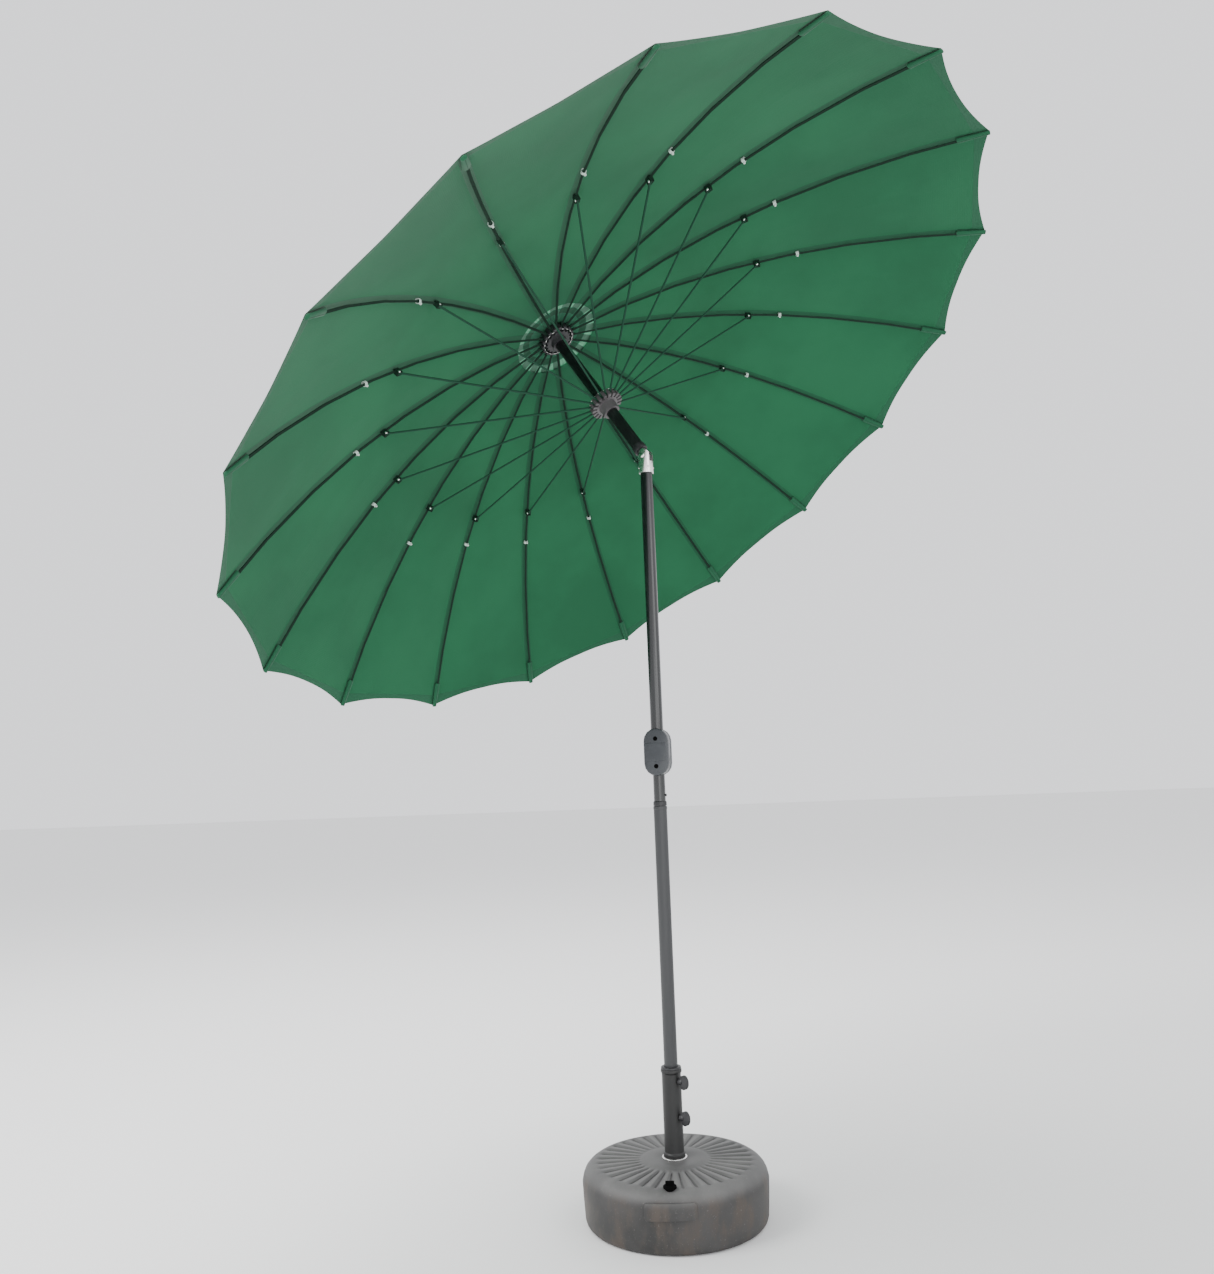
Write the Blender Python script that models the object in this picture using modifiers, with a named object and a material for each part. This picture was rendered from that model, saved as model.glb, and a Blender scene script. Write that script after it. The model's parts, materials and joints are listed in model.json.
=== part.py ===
"""Tilting patio umbrella on a water-filled base, in metres with +Z up.

The origin is the middle of the tank's underside. The rest pose is open, with the head leaning on its tilt joint.
The head's own frame has +Z along the upper mast, +X downhill and +Y along the tilt pin.
"""

import math

import bmesh
import bpy
from mathutils import Matrix, Vector

MM = 0.001

# Driving dimensions, in millimetres unless the name says otherwise.
TANK_RADIUS = 248.0
TANK_HEIGHT = 152.0
TANK_WALL = 4.0
WELL_RADIUS = 26.5
WELL_FLOOR = 20.0
BASE_TUBE_RADIUS = 26.0
BASE_TUBE_WALL = 2.0
BASE_TUBE_TOP = 384.0
LOWER_MAST_RADIUS = 18.4
LOWER_MAST_BOTTOM = 172.0
SEAM_HEIGHT = 1084.0
MAST_RADIUS = 17.5
SPIGOT_RADIUS = 16.5
MAST_BORE = 15.0
SPIGOT_LENGTH = 180.0
KNUCKLE_HEIGHT = 2080.0
HOUSING_HEIGHT = 1233.0
HOUSING_WIDTH = 69.0
HOUSING_DEPTH = 60.0
HOUSING_LENGTH = 131.0
HOUSING_YAW_DEG = -12.0
KNOB_MIDDLE = 46.0
KNOB_WIDTH = 29.0
KNOB_LENGTH = 37.0
KNOB_YAW_DEG = -45.0
FILLER_AT = (-15.0, -208.0)
CRANK_RISE = 22.0
CRANK_ARM = 72.0
TILT_DEG = 34.77
LEAN_DEG = 151.25
HUB_OVER_KNUCKLE = 514.0
KNUCKLE_WALL = 3.5
TONGUE_WALL = 2.5
HUB_RIM = 10.0
RUNNER_RIM = 8.0
HUB_NECK = 6.5
RUNNER_NECK = 7.5
RUNNER_BELOW_HUB = 289.0
RIB_COUNT = 18
RIB_PHASE_DEG = 147.9
RIB_PIVOT_RADIUS = 45.0
RIB_RADIUS = 4.0
STRUT_PIVOT_RADIUS = 42.0
STRUT_RADIUS = 3.0
JOINT_RADIUS = 640.0
JOINT_DROP = 136.0
TIP_RADIUS = 1240.0
TIP_DROP = 469.0
CLEVIS_DROP = 10.3
FABRIC_RISE = 9.5
FABRIC = 1.0
VENT_RADIUS = 135.0
VENT_CAP_RADIUS = 230.0
HEM_SCALLOP = 0.016
GAP = 0.3

COLLECTION = "patio_umbrella"

MATERIALS = {
    "fabric": ((0.030, 0.185, 0.085, 1.0), 0.85, 0.0),
    "mast_paint": ((0.075, 0.080, 0.088, 1.0), 0.35, 0.2),
    "black_plastic": ((0.022, 0.022, 0.025, 1.0), 0.45, 0.0),
    "housing_plastic": ((0.085, 0.095, 0.110, 1.0), 0.35, 0.0),
    "steel": ((0.620, 0.610, 0.590, 1.0), 0.28, 1.0),
    "rib_paint": ((0.040, 0.040, 0.043, 1.0), 0.50, 0.0),
    "tank_plastic": ((0.115, 0.110, 0.105, 1.0), 0.60, 0.0),
    "water": ((0.350, 0.450, 0.480, 1.0), 0.10, 0.0),
}


def clear_scene():
    """Removes the startup objects."""
    for found in list(bpy.data.objects):
        bpy.data.objects.remove(found, do_unlink=True)


def new_collection(name, helper=False):
    """Adds a collection to the scene; a helper one isn't rendered."""
    made = bpy.data.collections.new(name)
    made.hide_render = helper
    bpy.context.scene.collection.children.link(made)
    return made


def new_material(name):
    """Makes one Principled material from its row in MATERIALS."""
    colour, roughness, metallic = MATERIALS[name]
    made = bpy.data.materials.new(name)
    made.use_nodes = True
    made.diffuse_color = colour
    shader = made.node_tree.nodes["Principled BSDF"]
    shader.inputs["Base Color"].default_value = colour
    shader.inputs["Roughness"].default_value = roughness
    shader.inputs["Metallic"].default_value = metallic
    return made


class Kit:
    """Collections and materials that the builders share."""

    def __init__(self):
        self.parts = new_collection(COLLECTION)
        self.cutters = new_collection("cutters", helper=True)
        self.materials = {name: new_material(name) for name in MATERIALS}

    def part(self, name, mesh, material, matrix=None, parent=None, smooth=True):
        """Adds a finished piece to the part's collection."""
        made = bpy.data.objects.new(name, mesh)
        self.parts.objects.link(made)
        made.parent = parent
        if matrix is not None:
            made.matrix_basis = matrix
        if not mesh.materials:
            mesh.materials.append(self.materials[material])
        if smooth:
            for face in mesh.polygons:
                face.use_smooth = True
        return made

    def cutter(self, name, mesh, matrix=None, parent=None):
        """Adds a hidden solid for a Boolean."""
        made = bpy.data.objects.new(name, mesh)
        self.cutters.objects.link(made)
        made.parent = parent
        made.hide_render = True
        made.display_type = "WIRE"
        if matrix is not None:
            made.matrix_basis = matrix
        return made


def scaled(points):
    return [tuple(MM * value for value in point) for point in points]


def profile_mesh(name, points, closed):
    """Edges through (radius, height) points, for a Screw."""
    mesh = bpy.data.meshes.new(name)
    corners = [(radius * MM, 0.0, height * MM) for radius, height in points]
    edges = [(i, i + 1) for i in range(len(points) - 1)]
    if closed:
        edges.append((len(points) - 1, 0))
    mesh.from_pydata(corners, edges, [])
    return mesh


def add_screw(made, steps):
    """Turns the object's profile a full turn about its Z axis."""
    screw = made.modifiers.new("turn", "SCREW")
    screw.axis = "Z"
    screw.angle = math.tau
    screw.steps = steps
    screw.render_steps = steps
    screw.use_merge_vertices = True
    screw.merge_threshold = 0.00001
    screw.use_smooth_shade = True
    return screw


def turned(kit, name, points, material, steps=32, closed=False, matrix=None, parent=None):
    """A turned piece from (radius, height) points that run from top to bottom on its outer side."""
    made = kit.part(name, profile_mesh(name, points, closed), material, matrix, parent)
    add_screw(made, steps)
    return made


def turned_cutter(kit, name, points, steps=32, closed=False, matrix=None, parent=None):
    made = kit.cutter(name, profile_mesh(name, points, closed), matrix, parent)
    add_screw(made, steps)
    return made


def tube_points(outer, inner, bottom, top):
    return [(outer, top), (outer, bottom), (inner, bottom), (inner, top)]


def bm_box(low, high):
    """A box between two corners in millimetres, as a bmesh."""
    bm = bmesh.new()
    bmesh.ops.create_cube(bm, size=1.0)
    size = [MM * (b - a) for a, b in zip(low, high)]
    middle = Vector([MM * (a + b) / 2 for a, b in zip(low, high)])
    bmesh.ops.transform(bm, matrix=Matrix.Translation(middle) @ Matrix.Diagonal((*size, 1.0)), verts=bm.verts)
    return bm


def bm_rod(start, end, radius, sides=24, end_radius=None):
    """A rod between two points in millimetres, as a bmesh."""
    low, high = Vector(start) * MM, Vector(end) * MM
    along = high - low
    bm = bmesh.new()
    bmesh.ops.create_cone(
        bm,
        cap_ends=True,
        segments=sides,
        radius1=radius * MM,
        radius2=(radius if end_radius is None else end_radius) * MM,
        depth=along.length,
    )
    turn = along.to_track_quat("Z", "Y").to_matrix().to_4x4()
    bmesh.ops.transform(bm, matrix=Matrix.Translation((low + high) / 2) @ turn, verts=bm.verts)
    return bm


def mesh_from(bm, name):
    mesh = bpy.data.meshes.new(name)
    bm.to_mesh(mesh)
    bm.free()
    return mesh


def add_boolean(made, other, operation="DIFFERENCE"):
    step = made.modifiers.new(other.name, "BOOLEAN")
    step.operation = operation
    step.solver = "EXACT"
    step.object = other
    return step


def add_bevel(made, width, segments=2, limit=40.0):
    step = made.modifiers.new("edges", "BEVEL")
    step.width = width * MM
    step.segments = segments
    step.limit_method = "ANGLE"
    step.angle_limit = math.radians(limit)
    return step


def outline_mesh(name, points, half_width, axis="Y"):
    """A prism from an outline: (x, z) points along Y, or (x, y) points along Z."""
    bm = bmesh.new()
    if axis == "Y":
        near = [bm.verts.new((x * MM, -half_width * MM, z * MM)) for x, z in points]
        far = [bm.verts.new((x * MM, half_width * MM, z * MM)) for x, z in points]
    else:
        near = [bm.verts.new((x * MM, y * MM, -half_width * MM)) for x, y in points]
        far = [bm.verts.new((x * MM, y * MM, half_width * MM)) for x, y in points]
    bm.faces.new(near)
    bm.faces.new(far[::-1])
    for i in range(len(points)):
        j = (i + 1) % len(points)
        bm.faces.new((near[i], far[i], far[j], near[j]))
    bmesh.ops.recalc_face_normals(bm, faces=bm.faces)
    return mesh_from(bm, name)


def arc(centre, radius, start_deg, end_deg, count):
    """Points on an arc, both ends included."""
    found = []
    for i in range(count + 1):
        angle = math.radians(start_deg + (end_deg - start_deg) * i / count)
        found.append((centre[0] + radius * math.cos(angle), centre[1] + radius * math.sin(angle)))
    return found


def build_base(kit):
    """Tank, its water, filler cap, base tube, insert and the two clamp knobs."""
    top = TANK_HEIGHT
    tank = turned(
        kit,
        "base_tank",
        [
            (0.0, WELL_FLOOR),
            (WELL_RADIUS, WELL_FLOOR),
            (WELL_RADIUS, top + 3.0),
            (WELL_RADIUS + 2.0, top + 4.0),
            (85.0, top + 4.0),
            (91.0, top),
            (205.0, top - 2.0),
            (226.0, top - 8.0),
            (240.0, top - 22.0),
            (TANK_RADIUS, top - 44.0),
            (TANK_RADIUS - 5.0, 14.0),
            (TANK_RADIUS - 11.0, 4.0),
            (TANK_RADIUS - 20.0, 0.0),
            (0.0, 0.0),
        ],
        "tank_plastic",
        steps=40,
    )
    inner = WELL_RADIUS + TANK_WALL
    cavity = [
        (inner, top - TANK_WALL),
        (204.0, top - 2.0 - TANK_WALL),
        (232.0, top - 24.0),
        (TANK_RADIUS - TANK_WALL, top - 44.0),
        (TANK_RADIUS - 5.0 - TANK_WALL, 14.0),
        (TANK_RADIUS - 18.0, TANK_WALL),
        (inner, TANK_WALL),
    ]
    hollow = turned_cutter(kit, "tank_hollow", cavity, steps=40, closed=True)
    add_boolean(tank, hollow)
    filler = FILLER_AT
    hole = kit.cutter("filler_hole", mesh_from(bm_rod((*filler, 130), (*filler, 170), 13.0), "filler_hole"))
    add_boolean(tank, hole)
    fill = top - 26.0
    turned(
        kit,
        "base_ballast",
        [
            (inner + 0.5, fill),
            (231.0 - 3.0, fill),
            (TANK_RADIUS - TANK_WALL - 1.5, top - 46.0),
            (TANK_RADIUS - 6.5 - TANK_WALL, 14.5),
            (TANK_RADIUS - 20.0, TANK_WALL + 0.5),
            (inner + 0.5, TANK_WALL + 0.5),
        ],
        "water",
        steps=40,
        closed=True,
    )
    cap = turned(
        kit,
        "filler_cap",
        [
            (0.0, top + 6.0),
            (15.0, top + 6.0),
            (17.0, top + 4.0),
            (17.0, top - 0.5),
            (12.6, top - 0.5),
            (12.6, top - 14.0),
            (0.0, top - 14.0),
        ],
        "black_plastic",
        steps=24,
        matrix=Matrix.Translation((filler[0] * MM, filler[1] * MM, 0.0)),
    )
    tab = kit.cutter(
        "filler_tab", mesh_from(bm_box((-11, -2.5, top + 3), (11, 2.5, top + 16)), "filler_tab"),
        matrix=Matrix.Translation((filler[0] * MM, filler[1] * MM, 0.0)),
    )
    add_boolean(cap, tab, "UNION")

    outer, bore = BASE_TUBE_RADIUS, BASE_TUBE_RADIUS - BASE_TUBE_WALL
    tube = turned(
        kit,
        "base_tube",
        [
            (outer, BASE_TUBE_TOP - 12.0),
            (outer, top + 18.0),
            (outer + 3.0, top + 15.0),
            (outer + 3.0, top + 4.5),
            (outer, top + 4.3),
            (outer, WELL_FLOOR + GAP),
            (bore, WELL_FLOOR + GAP),
            (bore, BASE_TUBE_TOP),
            (outer + 1.5, BASE_TUBE_TOP),
            (outer + 2.5, BASE_TUBE_TOP - 3.0),
            (outer + 2.5, BASE_TUBE_TOP - 8.0),
        ],
        "mast_paint",
        steps=36,
        closed=True,
    )
    mouth = BASE_TUBE_TOP + GAP
    insert = turned(
        kit,
        "tube_insert",
        [
            (outer + 0.5, mouth + 5.0),
            (outer + 1.5, mouth + 3.0),
            (outer + 1.5, mouth),
            (bore - GAP, mouth),
            (bore - GAP, BASE_TUBE_TOP - 62.0),
            (LOWER_MAST_RADIUS + GAP, BASE_TUBE_TOP - 62.0),
            (LOWER_MAST_RADIUS + GAP, mouth + 5.0),
        ],
        "black_plastic",
        steps=36,
        closed=True,
    )
    for name, height in (("clamp_knob_upper", 354.0), ("clamp_knob_lower", 262.0)):
        build_knob(kit, name, height)
        hole = kit.cutter(f"{name}_hole", mesh_from(bm_rod((10, 0, height), (60, 0, height), 4.4, 16), name + "_hole"),
                          Matrix.Rotation(math.radians(KNOB_YAW_DEG), 4, "Z"))
        add_boolean(tube, hole)
        if height > BASE_TUBE_TOP - 62.0:
            add_boolean(insert, hole)


def build_knob(kit, name, height):
    """A thumb knob: a flat paddle on a round boss, with the stud that presses on the mast."""
    at = Matrix.Translation((0.0, 0.0, height * MM)) @ Matrix.Rotation(math.radians(KNOB_YAW_DEG), 4, "Z")
    turns = [math.tau * i / 18 for i in range(18)]
    outline = [(KNOB_MIDDLE + KNOB_WIDTH / 2 * math.cos(turn), KNOB_LENGTH / 2 * math.sin(turn)) for turn in turns]
    knob = kit.part(name, outline_mesh(name, outline, 4.5), "black_plastic", at)
    stud_start = LOWER_MAST_RADIUS + GAP
    boss = kit.cutter(f"{name}_boss", mesh_from(bm_rod((29, 0, 0), (42, 0, 0), 8.5, 20, 7.0), name + "_boss"), at)
    stud = kit.cutter(f"{name}_stud", mesh_from(bm_rod((stud_start, 0, 0), (34, 0, 0), 4.0, 12), name + "_stud"), at)
    add_boolean(knob, boss, "UNION")
    add_boolean(knob, stud, "UNION")


def build_mast(kit):
    """Lower mast, mid mast with its spigot, and the spring button."""
    lower = LOWER_MAST_RADIUS
    bore = SPIGOT_RADIUS + GAP
    turned(
        kit,
        "mast_lower",
        [
            (lower + 0.8, SEAM_HEIGHT),
            (lower + 0.8, SEAM_HEIGHT - 8.0),
            (lower, SEAM_HEIGHT - 9.0),
            (lower, LOWER_MAST_BOTTOM),
            (bore, LOWER_MAST_BOTTOM),
            (bore, SEAM_HEIGHT),
        ],
        "mast_paint",
        steps=28,
        closed=True,
    )
    mid = turned(
        kit,
        "mast_mid",
        [
            (MAST_RADIUS, KNUCKLE_HEIGHT - 24.0 - GAP),
            (MAST_RADIUS, HOUSING_HEIGHT),
            (SPIGOT_RADIUS, HOUSING_HEIGHT - 1.0),
            (SPIGOT_RADIUS, SEAM_HEIGHT - SPIGOT_LENGTH),
            (MAST_BORE, SEAM_HEIGHT - SPIGOT_LENGTH),
            (MAST_BORE, KNUCKLE_HEIGHT - 24.0 - GAP),
        ],
        "mast_paint",
        steps=28,
        closed=True,
    )
    height = SEAM_HEIGHT + 30.0
    at = Matrix.Translation((0.0, 0.0, height * MM)) @ Matrix.Rotation(math.radians(-18.0), 4, "Z")
    button = kit.part("snap_button", mesh_from(bm_rod((12.2, 0, 0), (20.0, 0, 0), 3.6, 16), "snap_button"),
                      "black_plastic", at)
    flange = kit.cutter("button_flange", mesh_from(bm_rod((10.5, 0, 0), (12.7, 0, 0), 5.2, 16), "button_flange"), at)
    add_boolean(button, flange, "UNION")
    hole = kit.cutter("button_hole", mesh_from(bm_rod((8, 0, 0), (30, 0, 0), 3.9, 16), "button_hole"), at)
    add_boolean(mid, hole)
    return mid


def stadium(width, length, count):
    """A rounded outline in X and Z, wider at its middle than at its ends."""
    radius = width / 2
    straight = length / 2 - radius
    return arc((0.0, straight), radius, 0.0, 180.0, count) + arc((0.0, -straight), radius, 180.0, 360.0, count)


def housing_half(kit, name, near, far, at):
    """One shell of the crank housing, hollow towards the other, from y = near to y = far."""
    shell = kit.part(name, outline_mesh(name, stadium(HOUSING_WIDTH, HOUSING_LENGTH, 8), abs(far - near) / 2),
                     "housing_plastic", at @ Matrix.Translation((0.0, (near + far) / 2 * MM, 0.0)))
    add_bevel(shell, 5.0, 2, 60.0)
    return shell


def build_housing(kit, mid):
    """Both shells of the crank housing, the spool with its shaft, the arm and the grip."""
    at = Matrix.Translation((0.0, 0.0, HOUSING_HEIGHT * MM)) @ Matrix.Rotation(math.radians(HOUSING_YAW_DEG), 4, "Z")
    half = HOUSING_DEPTH / 2
    split = 8.0
    front = housing_half(kit, "housing_front", -half, split - 0.4, at)
    back = housing_half(kit, "housing_back", split, half, at)
    inner = outline_mesh("housing_hollow", stadium(HOUSING_WIDTH - 7.0, HOUSING_LENGTH - 7.0, 8), half - 3.5)
    hollow = kit.cutter("housing_hollow", inner, at)
    bore = kit.cutter("housing_bore", mesh_from(bm_rod((0, 0, 0), (0, 0, 90), MAST_RADIUS + GAP, 28), "housing_bore"), at)
    foot = kit.cutter("housing_foot", mesh_from(bm_rod((0, 0, -90), (0, 0, 10), SPIGOT_RADIUS + GAP, 28), "housing_foot"), at)
    shaft_hole = mesh_from(bm_rod((0, 5, CRANK_RISE), (0, 60, CRANK_RISE), 4.4, 16), "shaft_hole")
    hole = kit.cutter("shaft_hole", shaft_hole, at)
    for shell in (front, back):
        add_boolean(shell, hollow)
        add_boolean(shell, bore)
        add_boolean(shell, foot)
    add_boolean(back, hole)
    add_boolean(mid, hole)
    lie_back = at @ Matrix.Translation((0.0, 0.0, CRANK_RISE * MM)) @ Matrix.Rotation(math.radians(-90.0), 4, "X")
    turned(
        kit,
        "crank_spool",
        [
            (0.0, half + 11.0),
            (4.0, half + 11.0),
            (4.0, 9.0),
            (10.0, 9.0),
            (10.0, 7.0),
            (8.0, 6.0),
            (8.0, -6.0),
            (10.0, -7.0),
            (10.0, -9.0),
            (0.0, -9.0),
        ],
        "steel",
        steps=20,
        matrix=lie_back,
    )
    arm_outline = arc((0.0, 0.0), 11.0, 0.0, 180.0, 6) + arc((0.0, -CRANK_ARM), 9.0, 180.0, 360.0, 6)
    arm_at = at @ Matrix.Translation((0.0, (half + 6.0) * MM, CRANK_RISE * MM))
    arm = kit.part("crank_arm", outline_mesh("crank_arm", arm_outline, 3.5), "black_plastic", arm_at)
    eye = kit.cutter("arm_eye", mesh_from(bm_rod((0, -20, 0), (0, 20, 0), 4.15, 20), "arm_eye"), arm_at)
    add_boolean(arm, eye)
    post = kit.cutter("arm_post", mesh_from(bm_rod((0, 0, -CRANK_ARM), (0, 36, -CRANK_ARM), 3.5, 16), "arm_post"), arm_at)
    add_boolean(arm, post, "UNION")
    grip_at = at @ Matrix.Translation((0.0, (half + 10.0) * MM, (CRANK_RISE - CRANK_ARM) * MM))
    turned(
        kit,
        "crank_grip",
        [
            (7.0, 30.0),
            (10.0, 27.0),
            (11.5, 15.0),
            (9.5, 3.0),
            (8.0, 0.0),
            (3.65, 0.0),
            (3.65, 30.0),
        ],
        "black_plastic",
        steps=20,
        closed=True,
        matrix=grip_at @ Matrix.Rotation(math.radians(-90.0), 4, "X"),
    )


def lean_frames():
    """The knuckle's upright frame, with +Y along its pin, and the leaning head's frame."""
    upright = Matrix.Translation((0.0, 0.0, KNUCKLE_HEIGHT * MM)) @ Matrix.Rotation(math.radians(LEAN_DEG), 4, "Z")
    return upright, upright @ Matrix.Rotation(math.radians(TILT_DEG), 4, "Y")


def build_knuckle(kit, upright, head):
    """Clevis on the mid mast, tongue under the upper mast, and the pin through both."""
    outer = MAST_RADIUS + KNUCKLE_WALL
    lower = kit.part("knuckle_lower", mesh_from(bm_rod((0, 0, -50), (0, 0, 22), outer, 28), "knuckle_lower"),
                     "steel", upright)
    crown = [(-30.0, 0.0), (-30.0, -60.0), (30.0, -60.0), (30.0, 0.0)] + arc((0.0, 0.0), 19.0, 0.0, 180.0, 10)
    add_boolean(lower, kit.cutter("clevis_crown", outline_mesh("clevis_crown", crown, 40.0), upright), "INTERSECT")
    fork = kit.cutter("clevis_fork", mesh_from(bm_box((-40, -11, -17), (40, 11, 40)), "clevis_fork"), upright)
    bore = kit.cutter("clevis_bore", mesh_from(bm_rod((0, 0, -70), (0, 0, -24), MAST_RADIUS + GAP, 28), "clevis_bore"), upright)
    hole = kit.cutter("pin_hole", mesh_from(bm_rod((0, -40, 0), (0, 40, 0), 4.15, 16), "pin_hole"), upright)
    for other in (fork, bore, hole):
        add_boolean(lower, other)

    upper = kit.part("knuckle_upper", mesh_from(bm_rod((0, 0, 23), (0, 0, 42), MAST_RADIUS + TONGUE_WALL, 28), "knuckle_upper"),
                     "black_plastic", head)
    tongue = arc((0.0, 0.0), 14.0, 180.0, 360.0, 8) + [(14.0, 26.0), (-14.0, 26.0)]
    add_boolean(upper, kit.cutter("tongue", outline_mesh("tongue", tongue, 10.6), head), "UNION")
    add_boolean(upper, kit.cutter("tongue_bore", mesh_from(bm_rod((0, 0, 29), (0, 0, 70), MAST_RADIUS + GAP, 28), "tongue_bore"), head))
    add_boolean(upper, hole)

    turned(
        kit,
        "knuckle_pin",
        [
            (0.0, outer + 3.0),
            (5.0, outer + 3.0),
            (7.0, outer + 1.5),
            (7.0, outer + GAP),
            (4.0, outer + GAP),
            (4.0, -outer - GAP),
            (7.0, -outer - GAP),
            (7.0, -outer - 1.5),
            (5.0, -outer - 3.0),
            (0.0, -outer - 3.0),
        ],
        "steel",
        steps=16,
        matrix=upright @ Matrix.Rotation(math.radians(-90.0), 4, "X"),
    )


def slots_mesh(name, inner, outer, width, half_height):
    """Radial slots, one per rib, as separate boxes in one mesh."""
    bm = bmesh.new()
    for i in range(RIB_COUNT):
        turn = Matrix.Rotation(math.radians(RIB_PHASE_DEG + 360.0 / RIB_COUNT * i), 4, "Z")
        size = Matrix.Diagonal(((outer - inner) * MM, width * MM, 2 * half_height * MM, 1.0))
        middle = Matrix.Translation(((inner + outer) / 2 * MM, 0.0, 0.0))
        bmesh.ops.create_cube(bm, size=1.0, matrix=turn @ middle @ size)
    return mesh_from(bm, name)


def build_crown(kit, head):
    """Upper mast, slotted hub, finial, runner."""
    hub_at = head @ Matrix.Translation((0.0, 0.0, HUB_OVER_KNUCKLE * MM))
    turned(
        kit,
        "mast_upper",
        [
            (MAST_RADIUS, HUB_OVER_KNUCKLE + 9.0),
            (MAST_RADIUS, 29.0 + GAP),
            (MAST_BORE, 29.0 + GAP),
            (MAST_BORE, HUB_OVER_KNUCKLE + 9.0),
        ],
        "mast_paint",
        steps=28,
        closed=True,
        matrix=head,
    )
    neck = MAST_RADIUS + HUB_NECK
    rim = RIB_PIVOT_RADIUS + HUB_RIM
    hub = turned(
        kit,
        "hub",
        [
            (0.0, 42.0),
            (5.5, 42.0),
            (5.5, 23.0),
            (10.0, 23.0),
            (neck, 13.0),
            (rim, 13.0),
            (rim, -10.0),
            (rim - 3.0, -13.0),
            (neck + 2.0, -13.0),
            (neck, -26.0),
            (MAST_RADIUS + GAP, -26.0),
            (MAST_RADIUS + GAP, 9.0 + GAP),
            (0.0, 9.0 + GAP),
        ],
        "black_plastic",
        steps=36,
        matrix=hub_at,
    )
    ring = RIB_PIVOT_RADIUS
    channel = [(ring + 3.0, 2.6), (ring + 3.0, -20.0), (ring - 2.6, -20.0), (ring - 2.6, 2.6)]
    add_boolean(hub, kit.cutter("hub_slots", slots_mesh("hub_slots", ring - 7.0, ring + 20.0, 7.2, 30.0), hub_at))
    add_boolean(hub, turned_cutter(kit, "hub_channel", channel, 36, True, hub_at))
    turned(
        kit,
        "finial",
        [
            (0.0, 52.0),
            (10.0, 50.0),
            (18.0, 43.0),
            (22.0, 32.0),
            (22.0, 26.0),
            (5.8, 26.0),
            (5.8, 42.0 + GAP),
            (0.0, 42.0 + GAP),
        ],
        "black_plastic",
        steps=24,
        matrix=hub_at,
    )
    runner_at = hub_at @ Matrix.Translation((0.0, 0.0, -RUNNER_BELOW_HUB * MM))
    bore = MAST_RADIUS + 0.5
    neck = MAST_RADIUS + RUNNER_NECK
    rim = STRUT_PIVOT_RADIUS + RUNNER_RIM
    runner = turned(
        kit,
        "runner",
        [
            (neck, 14.0),
            (neck + 2.0, 12.0),
            (rim - 2.0, 12.0),
            (rim, 10.0),
            (rim, -12.0),
            (neck + 2.0, -12.0),
            (neck, -39.0),
            (bore, -39.0),
            (bore, 14.0),
        ],
        "black_plastic",
        steps=36,
        closed=True,
        matrix=runner_at,
    )
    ring = STRUT_PIVOT_RADIUS
    channel = [(ring + 2.8, 20.0), (ring + 2.8, -2.4), (ring - 2.4, -2.4), (ring - 2.4, 20.0)]
    add_boolean(runner, kit.cutter("runner_slots", slots_mesh("runner_slots", ring - 7.5, ring + 20.0, 7.0, 30.0), runner_at))
    add_boolean(runner, turned_cutter(kit, "runner_channel", channel, 36, True, runner_at))
    return hub_at, runner_at


def rib_fall():
    """The rib's curve from its pivot: fall = a * run + b * run squared, through the strut joint and the tip."""
    near, far = JOINT_RADIUS - RIB_PIVOT_RADIUS, TIP_RADIUS - RIB_PIVOT_RADIUS
    curve = (TIP_DROP / far - JOINT_DROP / near) / (far - near)
    return JOINT_DROP / near - curve * near, curve


def rib_height(radius):
    """Height of the rib's middle at this radius, from the hub's pivot ring."""
    run = radius - RIB_PIVOT_RADIUS
    slope, curve = rib_fall()
    return -(slope * run + curve * run * run)


def joint_frame():
    """The strut's clevis on a rib, in the rib's own frame: +X along the rib, +Z up from it."""
    slope, curve = rib_fall()
    run = JOINT_RADIUS - RIB_PIVOT_RADIUS
    angle = math.atan(slope + 2 * curve * run)
    return Matrix.Translation((run * MM, 0.0, -JOINT_DROP * MM)) @ Matrix.Rotation(angle, 4, "Y")


def strut_reach():
    """Length in millimetres and rise in radians of a strut, from the runner's pivot to the clevis."""
    pivot = joint_frame() @ Vector((0.0, 0.0, -CLEVIS_DROP * MM)) / MM
    out = pivot.x + RIB_PIVOT_RADIUS - STRUT_PIVOT_RADIUS
    up = pivot.z + RUNNER_BELOW_HUB
    return math.hypot(out, up), math.atan2(up, out)


def curve_rod_mesh(name, points, radius):
    """A bent rod through points in millimetres, as a mesh."""
    data = bpy.data.curves.new(name, "CURVE")
    data.dimensions = "3D"
    data.bevel_depth = radius * MM
    data.bevel_resolution = 0
    data.use_fill_caps = True
    line = data.splines.new("POLY")
    line.points.add(len(points) - 1)
    for point, at in zip(line.points, points):
        point.co = (*(MM * value for value in at), 1.0)
    made = bpy.data.objects.new(name, data)
    bpy.context.scene.collection.objects.link(made)
    bpy.context.view_layer.update()
    mesh = bpy.data.meshes.new_from_object(made.evaluated_get(bpy.context.evaluated_depsgraph_get()))
    bpy.data.objects.remove(made)
    bm = bmesh.new()
    bm.from_mesh(mesh)
    bmesh.ops.remove_doubles(bm, verts=bm.verts, dist=0.00001)
    bmesh.ops.recalc_face_normals(bm, faces=bm.faces)
    return mesh_from(bm, name)


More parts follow.
